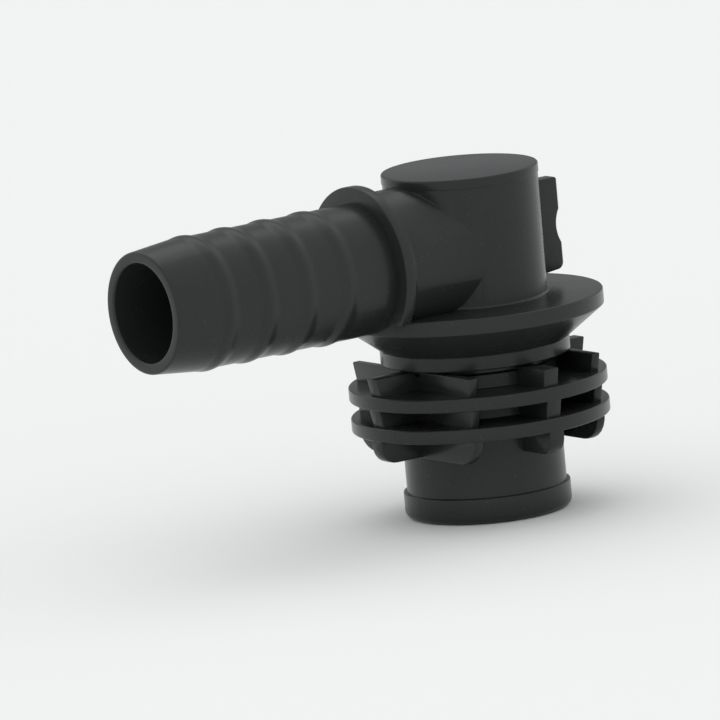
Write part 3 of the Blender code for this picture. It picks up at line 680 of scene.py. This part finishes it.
def make_plug(finish):
    """Core with fins, four ribs as two crossed walls, and two plates along the core's sides."""
    body = piece(lathe(plug_profile(), FINE, closed=False), "plug_moulding", "plug", None)
    rib_base, plate_base = LOWER_FIN - 3.5 * MM, LOWER_FIN - 3.8 * MM
    rib_corner, plate_corner, plate_stretch = 2.6 * MM, 4.2 * MM, 1.25
    walls = [plate(rib_outline(rib_base, rib_corner), -RIB_HALF, RIB_HALF, axis) for axis in ("Y", "X")]
    outer = CORE_RADIUS + 0.05 * MM
    inner = outer - 1.5 * MM
    reach = math.sqrt(RIB_RADIUS**2 - outer**2)
    for start, end in ((-outer, -inner), (inner, outer)):
        walls.append(plate(rib_outline(plate_base, plate_corner, plate_stretch, reach), start, end, "X"))
    for wall in walls:
        combine(body, bevel(piece(wall, "work_wall", None, None), 0.22 * MM, 2, 50), "UNION")
    bore = piece(lathe(plug_bore_profile(), FINE, closed=False), "work_bore", None, None)
    combine(body, bore, "DIFFERENCE")
    finish_piece(body, "plug", finish, ["plug_body"], sharp=34)


# ---------------------------------------------------------------- inner pieces


def make_rings(finish):
    """Round rubber rings inside the six-sided sections of the CAD's."""
    rings = [
        ("cap_seal_ring", "cap_o_ring", "elbow"),
        ("swivel_seal_upper", "swivel_o_ring_upper", "elbow"),
        ("swivel_seal_lower", "swivel_o_ring_lower", "elbow"),
        ("seat_seal_ring", "seat_o_ring", "plug"),
    ]
    for name, node, body in rings:
        bottom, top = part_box(node)
        section = (top.z - bottom.z) / 2 / math.sin(math.pi / 3)
        centre = top.x - section
        ring = torus(centre, section * 0.97, (top.z + bottom.z) / 2)
        piece(ring, name, body, finish, [node])


def flat_ring(inner, node, ease):
    """The profile of a flat ring that fills its CAD node, with eased edges."""
    bottom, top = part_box(node)
    corners = [(inner, bottom.z), (top.x, bottom.z), (top.x, top.z), (inner, top.z)]
    return rounded([(*corner, ease) for corner in corners])


def make_swivel(black, white, black_rubber):
    """Thrust washer, lock ring and the dished flow washer."""
    profile = flat_ring(SOCKET_RADIUS, "thrust_washer", 0.12 * MM)
    piece(lathe(profile), "slip_washer", "plug", black, ["thrust_washer"])
    bottom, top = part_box("swivel_lock_ring")
    ring = split_ring(8.85 * MM, 10.7 * MM, bottom.z, top.z, 2.4 * MM, 0.15 * MM)
    piece(ring, "lock_ring", "elbow", white, ["swivel_lock_ring"])
    bottom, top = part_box("flow_washer")
    hole, dish_floor = 3.4 * MM, top.z - 0.35 * MM
    dish = rounded([
        (hole, bottom.z, 0.15 * MM), (top.x, bottom.z, 0.2 * MM), (top.x, top.z, 0.2 * MM),
        (top.x - 1.6 * MM, top.z, 0.1 * MM), (top.x - 2.2 * MM, dish_floor, 0.1 * MM),
        (hole + 1.3 * MM, dish_floor, 0.2 * MM), (hole, top.z - 0.1 * MM, 0.3 * MM),
    ])
    piece(lathe(dish), "flow_disc", "plug", black_rubber, ["flow_washer"])


def make_seat(white):
    """Seat with its raised bead and ring groove, and the sleeve under it."""
    bottom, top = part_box("seat_ring")
    hole, bead = 5.2 * MM, 0.6 * MM
    face = bottom.z + 0.3 * MM
    outer, flange = top.x, 0.6 * MM
    profile = rounded([
        (hole, bottom.z, 0.12 * MM), (hole + bead, bottom.z, 0.14 * MM), (hole + bead, face, 0.05 * MM),
        (outer, face, 0.15 * MM), (outer, face + flange, 0.08 * MM),
        (SEAL_GROOVE_FLOOR, face + flange, 0.08 * MM), (SEAL_GROOVE_FLOOR, top.z - flange, 0.08 * MM),
        (outer, top.z - flange, 0.08 * MM), (outer, top.z, 0.15 * MM),
        (hole + 0.5 * MM, top.z, 0.1 * MM), (hole, top.z - 0.5 * MM, 0.1 * MM),
    ])
    piece(lathe(profile), "seat_insert", "plug", white, ["seat_ring"])
    profile = flat_ring(8.6 * MM, "spacer_sleeve", 0.1 * MM)
    piece(lathe(profile), "sleeve_insert", "plug", white, ["spacer_sleeve"])


def make_poppet(white, black_rubber, metal):
    """Poppet with its stem and stud, and the seal and washer held on the stud."""
    bottom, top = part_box("poppet")
    disc_top = low("poppet_seal").z - 0.15 * MM
    disc_bottom = disc_top - 1.1 * MM
    head_base = top.z - 0.6 * MM
    stem, stud, head, radius = 1.4 * MM, 1.6 * MM, 2.4 * MM, 7.0 * MM
    profile = rounded([
        (0.0, bottom.z), (stem, bottom.z, 0.5 * MM), (stem, disc_bottom, 0.5 * MM),
        (radius, disc_bottom, 0.3 * MM), (radius, disc_top, 0.2 * MM), (stud, disc_top, 0.1 * MM),
        (stud, head_base, 0.1 * MM), (head, head_base, 0.15 * MM), (head, top.z, 0.3 * MM), (0.0, top.z),
    ], closed=False)
    stem_and_disc = lathe(profile, SMALL, closed=False)
    piece(stem_and_disc, "poppet_moulding", "poppet", white, ["poppet"])
    hole = 1.75 * MM
    seal = lathe(flat_ring(hole, "poppet_seal", 0.2 * MM))
    piece(seal, "poppet_seal_disc", "poppet", black_rubber, ["poppet_seal"])
    washer = lathe(flat_ring(hole, "poppet_seal_washer", 0.12 * MM), SMALL)
    piece(washer, "seal_retaining_washer", "poppet", metal, ["poppet_seal_washer"])


def make_spring(metal):
    """A wound spring whose end turns lie flatter than the rest."""
    bottom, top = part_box("poppet_spring")
    wire, radius = 0.22 * MM, 2.2 * MM
    turns, steps, flat = 4.5, 320, 0.16
    low_z, rise = bottom.z + wire, top.z - bottom.z - 2 * wire
    end_rise = 2 * wire
    centres = []
    for k in range(steps + 1):
        share = k / steps
        angle = TURN * turns * share
        climb = min(max((share - flat) / (1 - 2 * flat), 0.0), 1.0)
        climb = climb * climb * (3 - 2 * climb) * 0.35 + climb * 0.65
        ends = end_rise * (min(share, flat) + max(share - 1 + flat, 0)) / (2 * flat) * 0.8
        height = low_z + (rise - 1.6 * wire) * climb + ends
        centres.append(Vector((radius * math.cos(angle), radius * math.sin(angle), height)))
    coil = strand(bmesh.new(), centres, wire, 14)
    spring = piece(coil, "return_spring", "plug", metal, ["poppet_spring"])
    height = top.z - bottom.z
    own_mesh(spring)


def make_guide(white, metal):
    """Spider of a rim, four arms and a drilled hub, and the snap ring that holds it."""
    bottom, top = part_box("stem_guide")
    base, rim_top = bottom.z, bottom.z + 1.0 * MM
    outer = top.x
    inner = outer - 1.0 * MM
    ease = 0.15 * MM
    rim = rounded([(inner, base, ease), (outer, base, ease), (outer, rim_top, ease), (inner, rim_top, ease)])
    body = piece(lathe(rim), "guide_spider", "plug", None)
    reach, half, inset = inner + 0.5 * MM, 0.6 * MM, 0.02 * MM
    for low_x, high_x, low_y, high_y in ((-reach, reach, -half, half), (-half, half, -reach, reach)):
        outline = [(low_x, low_y), (high_x, low_y), (high_x, high_y), (low_x, high_y)]
        arm = piece(plate(outline, base + inset, rim_top - inset, "Z"), "work_arm", None, None)
        combine(body, bevel(arm, 0.18 * MM, 2), "UNION")
    hub, drill = 2.6 * MM, 1.65 * MM
    block = rounded([(0.0, base), (hub, base, 0.2 * MM), (hub, top.z, 0.2 * MM), (0.0, top.z)], closed=False)
    combine(body, piece(lathe(block, SMALL, closed=False), "work_hub", None, None), "UNION")
    hole = [(0.0, base - OVERCUT), (drill, base - OVERCUT), (drill, top.z + OVERCUT), (0.0, top.z + OVERCUT)]
    combine(body, piece(lathe(hole, SMALL, closed=False), "work_hole", None, None), "DIFFERENCE")
    finish_piece(body, "plug", white, ["stem_guide"], sharp=34)
    bottom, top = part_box("guide_snap_ring")
    outer = -bottom.x
    ring = split_ring(outer - 1.1 * MM, outer, bottom.z, top.z, 5.0 * MM, 0.12 * MM)
    piece(ring, "snap_ring", "plug", metal, ["guide_snap_ring"])


def make_strainer(white, metal):
    """Cage of a flanged rim, a foot ring and six bars, with the wire cup inside it."""
    bottom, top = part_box("strainer_frame")
    seat = top.z - 1.0 * MM
    outer, inner = STEM_BORE - RUNNING_GAP, STEM_BORE - 1.05 * MM
    ring = 0.8 * MM
    rim = rounded([
        (inner, seat - ring, 0.1 * MM), (outer, seat - ring, 0.15 * MM), (outer, seat, 0.05 * MM),
        (top.x, seat, 0.15 * MM), (top.x, top.z, 0.25 * MM), (inner, top.z, 0.15 * MM),
    ])
    body = piece(lathe(rim), "strainer_cage", "elbow", None)
    foot_top = bottom.z + ring
    foot = rounded([
        (inner, bottom.z, 0.1 * MM), (outer, bottom.z, 0.15 * MM),
        (outer, foot_top, 0.1 * MM), (inner, foot_top, 0.1 * MM),
    ])
    combine(body, piece(lathe(foot), "work_foot", None, None), "UNION")
    middle, half, bars = (inner + outer) / 2, 0.27 * MM, 6
    near, far = middle - half, middle + half
    for number in range(bars):
        outline = [(near, -half), (far, -half), (far, half), (near, half)]
        bar = piece(plate(outline, bottom.z + ring / 2, seat - ring / 2, "Z"), "work_bar", None, None)
        bevel(bar, 0.08 * MM, 2)
        bar.data.transform(Matrix.Rotation(TURN * number / bars, 4, "Z"))
        combine(body, bar, "UNION")
    finish_piece(body, "elbow", white, ["strainer_frame"], sharp=34)
    make_screen(metal)


def make_screen(metal):
    """A woven wire cup: rings and uprights of fine wire, with a woven floor and a folded rim."""
    bottom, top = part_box("strainer_screen")
    radius = top.x - 0.15 * MM
    wire, sides = 0.07 * MM, 5
    pitch, uprights = 0.55 * MM, 72
    height = top.z - bottom.z
    made = bmesh.new()
    levels = int(height / pitch)
    turns = [TURN * k / uprights for k in range(uprights)]
    for level in range(1, levels):
        z = bottom.z + level * height / levels
        hoop = [Vector((radius * math.cos(a), radius * math.sin(a), z)) for a in turns]
        strand(made, hoop, wire, sides, closed=True)
    for around in turns:
        at = Vector((math.cos(around), math.sin(around), 0)) * (radius + 0.03 * MM)
        upright = [at + Vector((0, 0, bottom.z + wire)), at + Vector((0, 0, top.z - wire))]
        strand(made, upright, wire, sides)
    count = int(2 * radius / pitch)
    floor = bottom.z + wire
    for k in range(1, count):
        offset = -radius + k * 2 * radius / count
        half = math.sqrt(radius**2 - offset**2)
        strand(made, [Vector((offset, -half, floor)), Vector((offset, half, floor))], wire, sides)
        over = floor + wire
        strand(made, [Vector((-half, offset, over)), Vector((half, offset, over))], wire, sides)
    inner, outer, fold = radius - 0.15 * MM, radius + 0.14 * MM, top.z - 0.5 * MM
    rim = rounded([
        (inner, fold, 0.05 * MM), (outer, fold, 0.05 * MM),
        (outer, top.z, 0.1 * MM), (inner, top.z, 0.1 * MM),
    ])
    ring = lathe(rim)
    scratch = bpy.data.meshes.new("work_rim")
    ring.to_mesh(scratch)
    ring.free()
    made.from_mesh(scratch)
    bpy.data.meshes.remove(scratch)
    piece(made, "strainer_gauze", "elbow", metal, ["strainer_screen"], sharp=60)


# ---------------------------------------------------------------- stage, light and camera


def make_stage():
    half_width, level = 6.0, -0.02 * MM
    made = bmesh.new()
    signs = ((-1, -1), (1, -1), (1, 1), (-1, 1))
    made.faces.new([made.verts.new((x * half_width, y * half_width, level)) for x, y in signs])
    mesh = bpy.data.meshes.new("floor")
    made.to_mesh(mesh)
    made.free()
    floor = bpy.data.objects.new("floor", mesh)
    bpy.context.scene.collection.objects.link(floor)
    n = Nodes("pale_floor")
    n.shader.inputs["Base Color"].default_value = (0.90, 0.90, 0.90, 1.0)
    n.shader.inputs["Roughness"].default_value = 0.9
    n.shader.inputs["Specular IOR Level"].default_value = 0.1
    mesh.materials.append(n.material)


def sun(name, azimuth, elevation, strength, spread):
    """A soft distant lamp that shines from an azimuth (0 is -Y, 90 is +X) and elevation."""
    lamp = bpy.data.lights.new(name, "SUN")
    lamp.energy = strength
    lamp.angle = math.radians(spread)
    thing = bpy.data.objects.new(name, lamp)
    bpy.context.scene.collection.objects.link(thing)
    a, e = math.radians(azimuth), math.radians(elevation)
    back = Vector((math.sin(a) * math.cos(e), -math.cos(a) * math.cos(e), math.sin(e)))
    thing.rotation_mode = "QUATERNION"
    thing.rotation_quaternion = (-back).to_track_quat("-Z", "Y")


def make_light():
    """A pale room whose wall behind the part is dimmer, and one soft lamp from behind."""
    scene = bpy.context.scene
    world = bpy.data.worlds.new("studio")
    world.use_nodes = True
    tree = world.node_tree
    shade = tree.nodes["Background"]
    place = tree.nodes.new("ShaderNodeTexCoord")
    toward = tree.nodes.new("ShaderNodeVectorMath")
    toward.operation = "DOT_PRODUCT"
    dim_wall = Vector((0.54, 0.82, 0.17)).normalized()
    toward.inputs[1].default_value = dim_wall
    wall = tree.nodes.new("ShaderNodeValToRGB")
    wall.color_ramp.interpolation = "EASE"
    wall.color_ramp.elements[0].position = 0.72
    wall.color_ramp.elements[0].color = (0.92, 0.93, 0.93, 1.0)
    wall.color_ramp.elements[1].position = 0.96
    wall.color_ramp.elements[1].color = (0.34, 0.345, 0.35, 1.0)
    tree.links.new(place.outputs["Generated"], toward.inputs[0])
    tree.links.new(toward.outputs["Value"], wall.inputs["Fac"])
    tree.links.new(wall.outputs["Color"], shade.inputs["Color"])
    shade.inputs["Strength"].default_value = 1.0
    scene.world = world
    sun("key_from_behind", 170.0, 60.0, 0.4, 60.0)
    scene.view_settings.view_transform = "Standard"


def make_camera():
    """A very long lens from the front left, a little above, rolled a few degrees."""
    camera = bpy.data.cameras.new("camera")
    camera.sensor_width = 36.0
    distance, width = 2.5, 0.1094  # width is what the frame spans at the part
    camera.lens = camera.sensor_width * distance / width
    camera.clip_start, camera.clip_end = 0.05, 60.0
    thing = bpy.data.objects.new("camera", camera)
    bpy.context.scene.collection.objects.link(thing)
    azimuth, elevation, roll = math.radians(-34.71), math.radians(9.74), math.radians(5.14)
    back = Vector((math.sin(azimuth) * math.cos(elevation), -math.cos(azimuth) * math.cos(elevation),
                   math.sin(elevation)))
    right = Vector((math.cos(azimuth), math.sin(azimuth), 0))
    up = back.cross(right)
    across = right * math.cos(roll) - up * math.sin(roll)
    upward = right * math.sin(roll) + up * math.cos(roll)
    crossing = Vector((0, 0, TAIL_AXIS - 0.17 * MM))  # about where the tail's and housing's axes meet
    aim = crossing - across * 16.12 * MM - upward * 16.96 * MM  # the picture's centre
    turn = Matrix((across, upward, back)).transposed()
    thing.matrix_world = Matrix.Translation(aim + back * distance) @ turn.to_4x4()
    bpy.context.scene.camera = thing


def main():
    make_stage()
    make_light()
    make_camera()
    black, white, soft = black_plastic(), acetal(), rubber()
    metal = steel()
    make_elbow(black)
    make_cap(black)
    make_plug(black)
    make_rings(soft)
    make_swivel(black, white, soft)
    make_seat(white)
    make_poppet(white, soft, metal)
    make_spring(metal)
    make_guide(white, metal)
    make_strainer(white, metal)


main()
